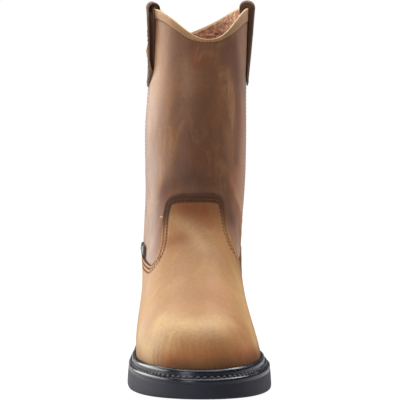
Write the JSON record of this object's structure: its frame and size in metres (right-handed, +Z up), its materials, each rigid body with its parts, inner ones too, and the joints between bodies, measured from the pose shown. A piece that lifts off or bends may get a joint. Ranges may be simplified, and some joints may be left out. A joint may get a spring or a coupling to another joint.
{
  "type": "pull-on work boot",
  "caption": "Pull-on leather work boot for the right foot with a tall scalloped shaft, pull straps, a tongue-topped vamp, a ribbed welt and a heeled rubber sole.",
  "frame": {"origin": "on the floor under the middle of the boot's bounding box", "axes": "+Z up, the toe points to -Y, the inner side of the foot is +X and the outer side -X"},
  "size_m": [0.1154, 0.31, 0.3038],
  "materials": {
    "brown_leather": "oiled, matt",
    "tan_leather": "oiled, matt, worn lighter",
    "dark_leather": "matt",
    "black_rubber": "satin",
    "footbed_fabric": "matt"
  },
  "bodies": {
    "root": {"upper": "brown_leather", "vamp": "tan_leather", "heel_counter": "tan_leather", "side_tab_outer": "dark_leather", "pull_strap_outer": "dark_leather", "pull_strap_inner": "dark_leather", "welt": "black_rubber", "outsole": "black_rubber", "heel": "black_rubber", "insole": "footbed_fabric"}
  },
  "joints": []
}
